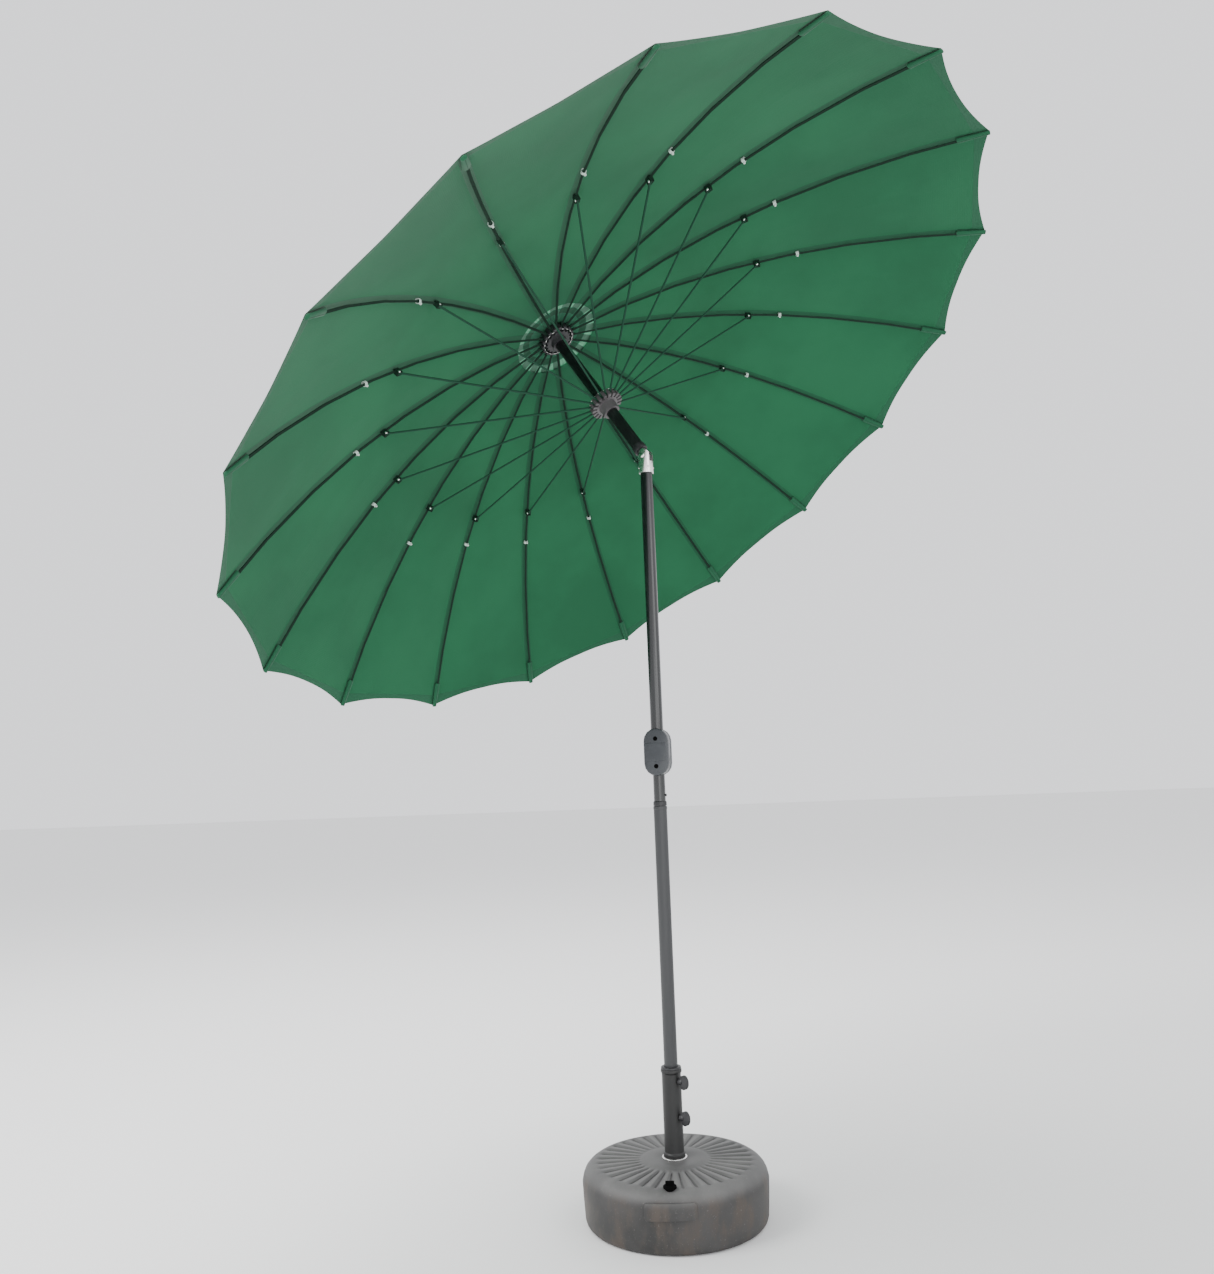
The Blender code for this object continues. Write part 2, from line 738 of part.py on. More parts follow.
def joined_mesh(kit, name, first, added, removed):
    """One closed mesh from a first mesh, those added to it and those then taken away."""
    base = kit.cutter(name + "_base", first)
    helpers = []
    for operation, meshes in (("UNION", added), ("DIFFERENCE", removed)):
        for i, mesh in enumerate(meshes):
            other = kit.cutter(f"{name}_{operation.lower()}_{i}", mesh)
            helpers.append(other)
            add_boolean(base, other, operation)
    bpy.context.view_layer.update()
    made = bpy.data.meshes.new_from_object(base.evaluated_get(bpy.context.evaluated_depsgraph_get()))
    made.name = name
    for helper in helpers + [base]:
        bpy.data.objects.remove(helper)
    return made


def rib_mesh(kit):
    """A rib from its pivot at the origin: eye, cross pin, bowed rod and the clevis for its strut."""
    reach = TIP_RADIUS - RIB_PIVOT_RADIUS - 5.0
    points = [(12.0, 0.0, rib_height(RIB_PIVOT_RADIUS + 12.0))]
    for i in range(1, 8):
        run = 12.0 + (reach - 12.0) * i / 7
        points.append((run, 0.0, rib_height(RIB_PIVOT_RADIUS + run)))
    rod = curve_rod_mesh("rib_rod", points, RIB_RADIUS)
    eye = mesh_from(bm_rod((0, -2.9, 0), (0, 2.9, 0), 5.0, 8), "rib_eye")
    root = mesh_from(bm_box((0, -2.7, -3.4), (20, 2.7, 2.6)), "rib_root")
    pin = mesh_from(bm_rod((0, -6, 0), (0, 6, 0), 1.8, 6), "rib_pin")
    at = joint_frame()
    clevis = bm_box((-9, -5.8, -15.5), (9, 5.8, 2.5))
    bmesh.ops.transform(clevis, matrix=at, verts=clevis.verts)
    slot = bm_box((-40, -3.4, -40), (7, 3.4, -4.4))
    bmesh.ops.transform(slot, matrix=at, verts=slot.verts)
    added = [root, eye, pin, mesh_from(clevis, "rib_clevis")]
    return joined_mesh(kit, "rib", rod, added, [mesh_from(slot, "rib_slot")])


def strut_mesh(kit):
    """A strut along +X from its pivot at the origin, with an eye at each end."""
    length, _ = strut_reach()
    rod = mesh_from(bm_rod((0, 0, 0), (length, 0, 0), STRUT_RADIUS, 6), "strut_rod")
    near = mesh_from(bm_rod((0, -2.8, 0), (0, 2.8, 0), 4.5, 8), "strut_eye")
    pin = mesh_from(bm_rod((0, -5.5, 0), (0, 5.5, 0), 1.6, 6), "strut_pin")
    far = mesh_from(bm_rod((length, -2.8, 0), (length, 2.8, 0), 4.6, 8), "strut_end")
    return joined_mesh(kit, "strut", rod, [near, pin, far], [])


def build_linkage(kit, hub_at, runner_at):
    """The ribs on the hub and the struts on the runner, each with its origin on its own pivot."""
    ribs, struts = rib_mesh(kit), strut_mesh(kit)
    _, rise = strut_reach()
    for i in range(RIB_COUNT):
        turn = Matrix.Rotation(math.radians(RIB_PHASE_DEG + 360.0 / RIB_COUNT * i), 4, "Z")
        out = Matrix.Translation((RIB_PIVOT_RADIUS * MM, 0.0, 0.0))
        kit.part(f"rib_{i:02d}", ribs, "rib_paint", hub_at @ turn @ out)
        out = Matrix.Translation((STRUT_PIVOT_RADIUS * MM, 0.0, 0.0))
        lift = Matrix.Rotation(-rise, 4, "Y")
        kit.part(f"strut_{i:02d}", struts, "rib_paint", runner_at @ turn @ out @ lift)


def gore_surface(name, inner, outer, rings, across, height, scallop):
    """A cloth of gores stretched between the ribs, as an open mesh."""
    bm = bmesh.new()
    rows = []
    count = RIB_COUNT * across
    for k in range(rings + 1):
        row = []
        for j in range(count):
            i, t = divmod(j, across)
            t /= across
            end = outer * (1.0 - scallop * 4.0 * t * (1.0 - t))
            radius = inner + (end - inner) * k / rings
            step = math.radians(360.0 / RIB_COUNT)
            start = math.radians(RIB_PHASE_DEG) + step * i
            x = (1.0 - t) * math.cos(start) + t * math.cos(start + step)
            y = (1.0 - t) * math.sin(start) + t * math.sin(start + step)
            row.append(bm.verts.new((radius * x * MM, radius * y * MM, height(radius) * MM)))
        rows.append(row)
    for k in range(rings):
        for j in range(count):
            n = (j + 1) % count
            bm.faces.new((rows[k][j], rows[k + 1][j], rows[k + 1][n], rows[k][n]))
    bmesh.ops.recalc_face_normals(bm, faces=bm.faces)
    return mesh_from(bm, name)


def build_cloth(kit, hub_at):
    """Canopy and vent cap."""
    def canopy_height(radius):
        return rib_height(radius) + FABRIC_RISE

    edge = canopy_height(VENT_CAP_RADIUS) + 9.0
    middle, start = 24.6, 7.0

    def cap_height(radius):
        return middle + (edge - middle) * (radius - start) / (VENT_CAP_RADIUS - start)

    canopy_mesh = gore_surface("canopy", VENT_RADIUS, TIP_RADIUS, 6, 4, canopy_height, HEM_SCALLOP)
    cap_mesh = gore_surface("vent_cap", start, VENT_CAP_RADIUS, 2, 2, cap_height, 0.02)
    for name, mesh in (("canopy", canopy_mesh), ("vent_cap", cap_mesh)):
        made = kit.part(name, mesh, "fabric", hub_at)
        thick = made.modifiers.new("thickness", "SOLIDIFY")
        thick.thickness = FABRIC * MM
        thick.offset = 0.0


def main():
    clear_scene()
    kit = Kit()
    build_base(kit)
    mid = build_mast(kit)
    build_housing(kit, mid)
    upright, head = lean_frames()
    build_knuckle(kit, upright, head)
    hub_at, runner_at = build_crown(kit, head)
    build_linkage(kit, hub_at, runner_at)
    build_cloth(kit, hub_at)


main()
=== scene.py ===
"""Looks for the tilting patio umbrella: cloth, mast, crank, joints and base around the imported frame."""

from __future__ import annotations

import json
import logging
import math
from dataclasses import dataclass, field
from enum import Enum
from typing import Any, Callable, Iterable, Sequence

import bmesh
import bpy
from mathutils import Matrix, Vector

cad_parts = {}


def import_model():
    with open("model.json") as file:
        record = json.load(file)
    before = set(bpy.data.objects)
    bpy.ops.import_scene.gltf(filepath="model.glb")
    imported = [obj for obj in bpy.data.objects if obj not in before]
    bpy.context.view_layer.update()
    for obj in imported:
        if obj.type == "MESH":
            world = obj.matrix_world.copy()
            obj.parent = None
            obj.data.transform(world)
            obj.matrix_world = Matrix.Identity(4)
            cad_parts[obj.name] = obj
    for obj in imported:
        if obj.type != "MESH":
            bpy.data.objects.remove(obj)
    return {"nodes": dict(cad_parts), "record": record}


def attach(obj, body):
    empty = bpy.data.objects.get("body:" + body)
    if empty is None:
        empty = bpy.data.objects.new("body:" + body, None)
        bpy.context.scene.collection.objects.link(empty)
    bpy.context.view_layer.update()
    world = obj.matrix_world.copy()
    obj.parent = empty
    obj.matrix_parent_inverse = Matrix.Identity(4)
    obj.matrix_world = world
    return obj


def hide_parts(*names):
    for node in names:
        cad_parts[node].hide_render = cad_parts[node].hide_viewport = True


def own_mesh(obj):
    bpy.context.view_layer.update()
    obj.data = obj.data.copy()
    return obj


LOG = logging.getLogger("patio_umbrella")
MM = 0.001
RIBS = 18
HUB_OVER_KNUCKLE = 514.0
Colour = tuple[float, float, float]


class Slot(Enum):
    """The record's material slots, and the finishes that share one."""

    FABRIC = "fabric"
    MAST = "mast_paint"
    BLACK = "black_plastic"
    HOUSING = "housing_plastic"
    STEEL = "steel"
    RIB = "rib_paint"
    STRUT = "strut_paint"
    TANK = "tank_plastic"
    CLIP = "clips"
    CAP = "vent_cloth"
    MID = "mid_mast"
    HEAD = "head_mast"
    POST = "post"
    FLANGE = "flange"
    SHADE_WELL = "well"


class Value:
    """A socket that takes part in arithmetic."""

    def __init__(self, web: "Web", socket: Any) -> None:
        """Wraps a node's output socket."""
        self.web = web
        self.socket = socket

    def __add__(self, other: Any) -> "Value":
        """Sum."""
        return self.web.maths("ADD", self, other)

    __radd__ = __add__

    def __sub__(self, other: Any) -> "Value":
        """Difference."""
        return self.web.maths("SUBTRACT", self, other)

    def __rsub__(self, other: Any) -> "Value":
        """Difference, the other way round."""
        return self.web.maths("SUBTRACT", other, self)

    def __mul__(self, other: Any) -> "Value":
        """Product."""
        return self.web.maths("MULTIPLY", self, other)

    __rmul__ = __mul__


class Web:
    """A material's node tree with its Principled shader."""

    def __init__(self, name: str) -> None:
        """Makes an empty material of this name."""
        self.material = bpy.data.materials.new(name)
        self.material.use_nodes = True
        self.tree = self.material.node_tree
        self.shader = self.tree.nodes["Principled BSDF"]
        self.output = self.tree.nodes["Material Output"]

    def node(self, kind: str, settings: dict[str, Any], inputs: dict[Any, Any]) -> Any:
        """Adds a node.

        Args:
            kind: the node's type.
            settings: properties, set before the sockets.
            inputs: socket name or index to a number, colour, Value or socket.

        Returns:
            The node.
        """
        made = self.tree.nodes.new(kind)
        for name, value in settings.items():
            setattr(made, name, value)
        for key, value in inputs.items():
            self.feed(made.inputs[key], value)
        return made

    def feed(self, socket: Any, value: Any) -> None:
        """Links a Value or socket to an input, or sets a constant on it."""
        if isinstance(value, Value):
            self.tree.links.new(value.socket, socket)
        elif hasattr(value, "is_output"):
            self.tree.links.new(value, socket)
        else:
            socket.default_value = value

    def place(self, uv: str | None = None, scale: Sequence[float] = (1.0, 1.0, 1.0)) -> Any:
        """Object coordinates, or the piece's UV map, through a Mapping node."""
        if uv is None:
            source = self.node("ShaderNodeTexCoord", {}, {}).outputs["Object"]
        else:
            source = self.node("ShaderNodeUVMap", {"uv_map": uv}, {}).outputs["UV"]
        return self.node("ShaderNodeMapping", {}, {"Vector": source, "Scale": tuple(scale)}).outputs["Vector"]

    def noise(self, at: Any, scale: float, detail: float = 3.0, rough: float = 0.55) -> Value:
        """Fractal noise from 0 to 1."""
        made = self.node(
            "ShaderNodeTexNoise", {}, {"Vector": at, "Scale": scale, "Detail": detail, "Roughness": rough}
        )
        return Value(self, made.outputs["Fac"])

    def wave(self, at: Any, scale: float, axis: str, distortion: float = 0.0) -> Value:
        """Parallel bands from 0 to 1."""
        made = self.node(
            "ShaderNodeTexWave",
            {"wave_type": "BANDS", "bands_direction": axis},
            {"Vector": at, "Scale": scale, "Distortion": distortion},
        )
        return Value(self, made.outputs["Fac"])

    def maths(self, operation: str, *numbers: Any) -> Value:
        """One Math node on Values, sockets or numbers."""
        made = self.node("ShaderNodeMath", {"operation": operation}, dict(enumerate(numbers)))
        return Value(self, made.outputs[0])

    def ramp(self, value: Value, low: float, high: float) -> Value:
        """0 below low, 1 above high, smooth between."""
        made = self.node(
            "ShaderNodeMapRange",
            {"interpolation_type": "SMOOTHSTEP"},
            {"Value": value, "From Min": low, "From Max": high},
        )
        return Value(self, made.outputs["Result"])

    def blend(self, factor: Any, first: Any, second: Any) -> Value:
        """Mixes two colours."""
        made = self.node("ShaderNodeMix", {"data_type": "RGBA"}, {})
        self.feed(made.inputs["Factor"], factor)
        for socket, colour in ((made.inputs[6], first), (made.inputs[7], second)):
            self.feed(socket, (*colour, 1.0) if isinstance(colour, tuple) else colour)
        return Value(self, made.outputs[2])

    def bump(self, height: Value, strength: float, distance: float) -> None:
        """Feeds the shader's Normal from a height."""
        made = self.node("ShaderNodeBump", {}, {"Strength": strength, "Distance": distance, "Height": height})
        self.feed(self.shader.inputs["Normal"], made.outputs["Normal"])

    def set(self, **sockets: Any) -> None:
        """Sets or links the shader's sockets; an underscore stands for a space."""
        for name, value in sockets.items():
            if isinstance(value, tuple) and len(value) == 3:
                value = (*value, 1.0)
            self.feed(self.shader.inputs[name.replace("_", " ")], value)


@dataclass(frozen=True)
class Cloth:
    """Woven polyester: a plain weave, seams and hem darkened with painted shade over the doubled cloth, soft fading,
    and on the vent cap a band of painted light.
    """

    name: str = "canopy_cloth"
    deep: Colour = (0.016, 0.150, 0.066)
    pale: Colour = (0.022, 0.190, 0.084)
    thread: float = 420.0
    glow: float = 0.42
    ring: tuple[float, float] | None = None

    def make(self) -> bpy.types.Material:
        """Builds the material on the pieces' own cloth map."""
        web = Web(self.name)
        at = web.place("cloth")
        parts = web.node("ShaderNodeSeparateXYZ", {}, {"Vector": at})
        across = Value(web, parts.outputs["X"])
        from_hem = Value(web, parts.outputs["Y"])
        seam = 1.0 - web.ramp(across * across, 0.00014, 0.00020)
        hem = 1.0 - web.ramp(from_hem, 0.032, 0.034)
        doubled = web.maths("MAXIMUM", seam, hem)
        if self.ring:
            inside = web.ramp(from_hem, self.ring[0], self.ring[0] + 0.002)
            doubled = doubled + inside * (1.0 - web.ramp(from_hem, self.ring[1], self.ring[1] + 0.002))
        fading = web.ramp(web.noise(web.place(), 2.6, 4.0), 0.30, 0.72)
        threads = web.wave(at, self.thread / 6.0, "X") * web.wave(at, self.thread / 6.0, "Y")
        slub = web.noise(at, 260.0, 2.0)
        tone = web.blend(fading, self.deep, self.pale)
        # Painted light: on the vent cap, a pale band just outside its ring stands for the bright light seen through
        # the vent gap.
        if self.ring:
            painted_light_band = web.ramp(from_hem, self.ring[0] - 0.032, self.ring[0] - 0.026)
            painted_light_band = painted_light_band * (1.0 - web.ramp(from_hem, self.ring[0] - 0.002, self.ring[0]))
            tone = web.blend(0.5 * painted_light_band, tone, (0.46, 0.66, 0.55))
        # The darkening on the seams, the hem and the cap's ring is painted shade: the doubled cloth there holds back
        # the light shining through. Slub and threads are the weave's own tone.
        dark = web.blend(0.18 * slub + 0.10 * threads + 0.55 * doubled, tone, (0.006, 0.060, 0.027))
        web.set(Base_Color=dark, Roughness=0.80 + 0.1 * slub, Sheen_Weight=0.12, Specular_IOR_Level=0.3)
        creases = web.noise(web.place("cloth", (1.0, 0.22, 1.0)), 30.0, 4.0)
        web.bump(threads * 0.3 + slub * 0.3 + creases * 0.8 + doubled * 0.8, 0.4, 0.0015)
        lit = web.node("ShaderNodeBsdfTranslucent", {}, {"Color": dark})
        joined = web.node(
            "ShaderNodeMixShader",
            {},
            {0: self.glow - 0.6 * self.glow * doubled, 1: web.shader.outputs[0], 2: lit.outputs[0]},
        )
        web.tree.links.new(joined.outputs[0], web.output.inputs["Surface"])
        return web.material


@dataclass(frozen=True)
class Paint:
    """Powder coat with a fine orange peel and faint scuffs."""

    name: str
    colour: Colour
    rough: float = 0.28
    dust: Colour = (0.150, 0.150, 0.148)
    dusting: float = 0.12
    coat: float = 0.25
    shine: float = 0.5

    def make(self) -> bpy.types.Material:
        """Builds the material."""
        web = Web(self.name)
        at = web.place()
        streak = web.ramp(web.noise(web.place(scale=(60.0, 60.0, 3.0)), 1.0, 5.0), 0.52, 0.78)
        peel = web.noise(at, 900.0, 2.0)
        tone = web.blend(self.dusting * streak, self.colour, self.dust)
        web.set(Base_Color=tone, Roughness=self.rough + 0.22 * streak + 0.05 * peel, Coat_Weight=self.coat)
        web.set(Coat_Roughness=0.2, Specular_IOR_Level=self.shine)
        web.bump(peel, 0.12, 0.0004)
        return web.material


@dataclass(frozen=True)
class Moulded:
    """Injection-moulded plastic with a fine grain and rubbed patches."""

    name: str
    colour: Colour
    worn: Colour
    rough: float = 0.42
    grain: float = 700.0
    patches: float = 30.0

    def make(self) -> bpy.types.Material:
        """Builds the material."""
        web = Web(self.name)
        at = web.place()
        patch = web.ramp(web.noise(at, self.patches, 5.0), 0.45, 0.75)
        grain = web.noise(at, self.grain, 2.0)
        web.set(Base_Color=web.blend(0.55 * patch, self.colour, self.worn), Roughness=self.rough + 0.18 * patch)
        web.bump(grain * 0.7 + patch * 0.3, 0.22, 0.0005)
        return web.material


@dataclass(frozen=True)
class Steel:
    """Brushed stainless steel with a few water marks."""

    name: str = "brushed_stainless"

    def make(self) -> bpy.types.Material:
        """Builds the material."""
        web = Web(self.name)
        brushed = web.noise(web.place(scale=(30.0, 30.0, 900.0)), 1.0, 3.0)
        marks = web.ramp(web.noise(web.place(), 45.0, 5.0), 0.5, 0.8)
        tone = web.blend(0.4 * marks + 0.2 * brushed, (0.88, 0.87, 0.85), (0.46, 0.45, 0.43))
        web.set(Base_Color=tone, Metallic=1.0, Roughness=0.20 + 0.14 * brushed + 0.15 * marks)
        web.bump(brushed, 0.12, 0.0003)
        return web.material


@dataclass(frozen=True)
class Weathered:
    """Blow-moulded tank plastic: chalky, with brown stain runs, painted shade on its sides and in the hollows of its
    flutes, and a painted highlight on the flute ridges.
    """

    name: str = "tank_shell"
    flutes: int = 36

    def make(self) -> bpy.types.Material:
        """Builds the material."""
        web = Web(self.name)
        at = web.place()
        part = web.node("ShaderNodeSeparateXYZ", {}, {"Vector": at})
        east, north, up = (Value(web, part.outputs[axis]) for axis in "XYZ")
        crown = web.ramp(up, 0.112, 0.143)
        spoke = web.maths("COSINE", web.maths("ARCTAN2", north, east) * float(self.flutes))
        out = web.maths("SQRT", east * east + north * north)
        fluted = web.ramp(out, 0.094, 0.108) * (1.0 - web.ramp(out, 0.198, 0.212)) * crown
        # Painted shade in the hollows between the flutes and a painted highlight on their ridges, to show the fluting
        # in relief.
        hollow_shade = fluted * (1.0 - web.ramp(spoke, -0.96, -0.55))
        ridge_highlight = fluted * web.ramp(spoke, 0.2, 0.9)
        chalk = web.ramp(web.noise(at, 6.0, 6.0, 0.62), 0.30, 0.75)
        runs = web.ramp(web.noise(web.place(scale=(17.0, 17.0, 7.0)), 1.0, 6.0, 0.62), 0.44, 0.66)
        speck = web.ramp(web.noise(at, 220.0, 3.0), 0.62, 0.74)
        # Painted shade: the sides are far darker than the top, as if light fell only on the top. The brown runs over
        # them are real stains.
        side = web.blend(chalk, (0.016, 0.0155, 0.015), (0.048, 0.046, 0.045))
        side_shade_and_stains = web.blend(0.7 * runs, side, (0.062, 0.046, 0.035))
        above = web.blend(chalk, (0.070, 0.069, 0.068), (0.130, 0.128, 0.125))
        # The top's chalky grey, with a painted highlight on the flute ridges.
        base = web.blend(crown, side_shade_and_stains, web.blend(0.35 * ridge_highlight, above, (0.19, 0.187, 0.18)))
        # Painted shade darkens the hollows of the flutes.
        with_flute_shade = web.blend(0.62 * hollow_shade, base, (0.030, 0.029, 0.028))
        web.set(Base_Color=web.blend(0.22 * speck, with_flute_shade, (0.22, 0.21, 0.20)), Roughness=0.5 + 0.2 * chalk)
        web.bump(chalk * 0.3 + web.noise(at, 380.0, 3.0) * 0.7, 0.3, 0.0008)
        return web.material


@dataclass
class Frame:
    """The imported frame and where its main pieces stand."""

    nodes: dict[str, Any]
    knuckle: Vector
    head: Matrix
    hub: Vector

    @classmethod
    def load(cls) -> "Frame":
        """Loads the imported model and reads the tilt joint."""
        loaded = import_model()
        joints = {joint["name"]: joint for joint in loaded["record"]["behaviour"]["joints"]}
        knuckle = Vector(joints["tilt"]["pos_m"])
        pin = Vector(joints["tilt"]["axis"]).normalized()
        up = -Vector(joints["runner_slide"]["axis"]).normalized()
        side = pin.cross(up).normalized()
        head = Matrix((side, pin, up)).transposed().to_4x4()
        hub = knuckle + up * (HUB_OVER_KNUCKLE * MM)
        return cls(loaded["nodes"], knuckle, head, hub)

    def at_hub(self) -> Matrix:
        """The hub's frame: +Z up the mast, +Y along the tilt pin."""
        return Matrix.Translation(self.hub) @ self.head


def spun(profile: Iterable[tuple[float, float]], steps: int = 64, closed: bool = False) -> bmesh.types.BMesh:
    """Turns a profile about Z with bmesh's spin.

    Args:
        profile: (radius, height) points in millimetres.
        steps: faces round the axis.
        closed: whether the last point joins the first.

    Returns:
        A bmesh with its normals facing out.
    """
    bm = bmesh.new()
    corners = [bm.verts.new((radius * MM, 0.0, height * MM)) for radius, height in profile]
    edges = [bm.edges.new(pair) for pair in zip(corners, corners[1:])]
    if closed:
        edges.append(bm.edges.new((corners[-1], corners[0])))
    bmesh.ops.spin(
        bm, geom=corners + edges, cent=(0, 0, 0), axis=(0, 0, 1), angle=math.tau, steps=steps, use_merge=True
    )
    bmesh.ops.remove_doubles(bm, verts=bm.verts, dist=0.00001)
    bmesh.ops.recalc_face_normals(bm, faces=bm.faces)
    return bm


def rounded(profile: Sequence[tuple[float, float]], radius: float, closed: bool = False) -> list[tuple[float, float]]:
    """Rounds each corner of a profile with a short curve of at most this radius, in millimetres."""
    found: list[tuple[float, float]] = []
    count = len(profile)
    for i, point in enumerate(profile):
        if not closed and i in (0, count - 1):
            found.append(point)
            continue
        here = Vector(point)
        before, after = Vector(profile[i - 1]), Vector(profile[(i + 1) % count])
        back, ahead = before - here, after - here
        cut = min(radius, back.length * 0.45, ahead.length * 0.45)
        if cut < 0.05:
            found.append(point)
            continue
        start, end = here + back.normalized() * cut, here + ahead.normalized() * cut
        for step in range(4):
            t = step / 3
            mid = start * (1 - t) ** 2 + here * 2 * t * (1 - t) + end * t * t
            found.append((mid.x, mid.y))
    return found


def finish_mesh(bm: bmesh.types.BMesh, name: str, place: Matrix | None = None, sharp: float = 38.0) -> Any:
    """Places a bmesh, shades it smooth with crisp edges and makes its object.

    Args:
        bm: the shape; it is freed.
        name: the piece's name.
        place: where it goes in the row frame.
        sharp: edges that turn more than this many degrees stay crisp.

    Returns:
        The object, at the origin.
    """
    if place is not None:
        bmesh.ops.transform(bm, matrix=place, verts=bm.verts)
    for face in bm.faces:
        face.smooth = True
    for edge in bm.edges:
        edge.smooth = len(edge.link_faces) != 2 or edge.calc_face_angle(0.0) < math.radians(sharp)
    mesh = bpy.data.meshes.new(name)
    bm.to_mesh(mesh)
    bm.free()
    made = bpy.data.objects.new(name, mesh)
    bpy.context.scene.collection.objects.link(made)
    return made


def rod(start: Vector, end: Vector, radius: float, sides: int = 16, tip: float | None = None) -> bmesh.types.BMesh:
    """A rod between two points in metres, with radii in metres."""
    bm = bmesh.new()
    along = end - start
    turn = along.to_track_quat("Z", "Y").to_matrix().to_4x4()
    bmesh.ops.create_cone(
        bm,
        cap_ends=True,
        segments=sides,
        radius1=radius,
        radius2=radius if tip is None else tip,
        depth=along.length,
        matrix=Matrix.Translation((start + end) / 2) @ turn,
    )
    return bm


def poured(parts: Sequence[bmesh.types.BMesh]) -> bmesh.types.BMesh:
    """Several shapes in one bmesh."""
    joined = bmesh.new()
    for part in parts:
        mesh = bpy.data.meshes.new("part")
        part.to_mesh(mesh)
        part.free()
        joined.from_mesh(mesh)
        bpy.data.meshes.remove(mesh)
    return joined


def soften(bm: bmesh.types.BMesh, width: float, segments: int = 2, limit: float = 40.0) -> None:
    """Rounds the crisp edges of a bmesh by this width in millimetres."""
    edges = [e for e in bm.edges if len(e.link_faces) == 2 and e.calc_face_angle(0.0) > math.radians(limit)]
    bmesh.ops.bevel(
        bm, geom=edges, offset=width * MM, segments=segments, profile=0.5, affect="EDGES", material=-1,
        clamp_overlap=True,
    )


class Dresser:
    """Gives pieces their finish, their body and the nodes they stand for."""

    def __init__(self, frame: Frame) -> None:
        """Makes every finish."""
        self.frame = frame
        black = Moulded("moulded_black", (0.014, 0.014, 0.016), (0.045, 0.044, 0.046))
        self.finishes: dict[Slot, bpy.types.Material] = {
            Slot.FABRIC: Cloth().make(),
            # The vent cap's paler greens are painted light: the cap lit from above through the vent gap, over the
            # cloth's own green.
            Slot.CAP: Cloth(
                "vent_cloth", (0.07, 0.33, 0.19), (0.11, 0.40, 0.24), glow=0.75, ring=(0.127, 0.151)
            ).make(),
            Slot.MAST: Paint("mast_powder_coat", (0.030, 0.031, 0.033), 0.42, coat=0.0).make(),
            Slot.MID: Paint("mid_mast_powder_coat", (0.007, 0.008, 0.009), 0.22, dusting=0.05, coat=0.5).make(),
            Slot.HEAD: Paint("head_mast_powder_coat", (0.004, 0.004, 0.005), 0.3, dusting=0.03, coat=0.1).make(),
            Slot.POST: Paint("post_powder_coat", (0.008, 0.008, 0.008), 0.45, dusting=0.06, coat=0.0).make(),
            Slot.FLANGE: Moulded("runner_plastic", (0.060, 0.055, 0.058), (0.13, 0.12, 0.125), 0.35).make(),
            Slot.BLACK: black.make(),
            Slot.HOUSING: Moulded("moulded_housing", (0.028, 0.032, 0.037), (0.055, 0.060, 0.066), 0.30).make(),
            Slot.STEEL: Steel().make(),
            # Painted shade: a near-black, matte finish for shadowed recesses.
            Slot.SHADE_WELL: Paint("shadowed_well", (0.002, 0.002, 0.002), 0.9, dusting=0.0, coat=0.0, shine=0.05).make(),
            Slot.RIB: Paint("rib_coating", (0.004, 0.020, 0.011), 0.7, dusting=0.02, coat=0.0, shine=0.2).make(),
            Slot.STRUT: Paint("strut_coating", (0.008, 0.046, 0.025), 0.7, dusting=0.02, coat=0.0, shine=0.2).make(),
            Slot.CLIP: Moulded("clip_plastic", (0.52, 0.62, 0.56), (0.40, 0.46, 0.42), 0.5).make(),
            Slot.TANK: Weathered().make(),
        }

    def dress(self, piece: Any, slot: Slot, body: str, *nodes: str) -> Any:
        """Finishes one piece.

        Args:
            piece: the new object.
            slot: its material slot in the record.
            body: the body it rides on.
            nodes: the CAD nodes it stands for.

        Returns:
            The piece.
        """
        piece.data.materials.clear()
        piece.data.materials.append(self.finishes[slot])
        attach(piece, body)
        if nodes:
            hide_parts(*nodes)
        LOG.info("%s on %s", piece.name, body)
        return piece

    def refined(self, node: str, slot: Slot, body: str, width: float = 0.5, limit: float = 40.0) -> Any:
        """A merged, edge-rounded copy of a CAD node in its own finish."""
        bm = bmesh.new()
        bm.from_mesh(self.frame.nodes[node].data)
        bmesh.ops.transform(bm, matrix=self.frame.nodes[node].matrix_world, verts=bm.verts)
        bmesh.ops.remove_doubles(bm, verts=bm.verts, dist=0.00002)
        bmesh.ops.dissolve_limit(bm, angle_limit=math.radians(1.0), verts=bm.verts, edges=bm.edges)
        if width > 0.0:
            soften(bm, width, 2, limit)
        return self.dress(finish_mesh(bm, f"{node}_look"), slot, body, node)


@dataclass(frozen=True)
class RibCurve:
    """The bow of a rib, from the hub's pivot ring, in millimetres."""

    pivot: float = 45.0
    joint: float = 640.0
    joint_drop: float = 136.0
    tip: float = 1240.0
    tip_drop: float = 469.0
    clevis: float = 10.3

    def bend(self) -> tuple[float, float]:
        """Slope at the pivot, and how fast it steepens."""
        near, far = self.joint - self.pivot, self.tip - self.pivot
        steeper = (self.tip_drop / far - self.joint_drop / near) / (far - near)
        return self.joint_drop / near - steeper * near, steeper

    def height(self, radius: float) -> float:
        """Height of the rib's middle at a radius."""
        slope, steeper = self.bend()
        run = radius - self.pivot
        return -(slope * run + steeper * run * run)

    def pitch(self, radius: float) -> float:
        """How steeply the rib falls at a radius, in radians."""
        slope, steeper = self.bend()
        return math.atan(slope + 2.0 * steeper * (radius - self.pivot))

    def point(self, radius: float, lift: float = 0.0) -> Vector:
        """A point in metres on the rib, or this far above it, in the rib's own frame at the hub."""
        return Vector((radius, 0.0, self.height(radius) + lift)) * MM


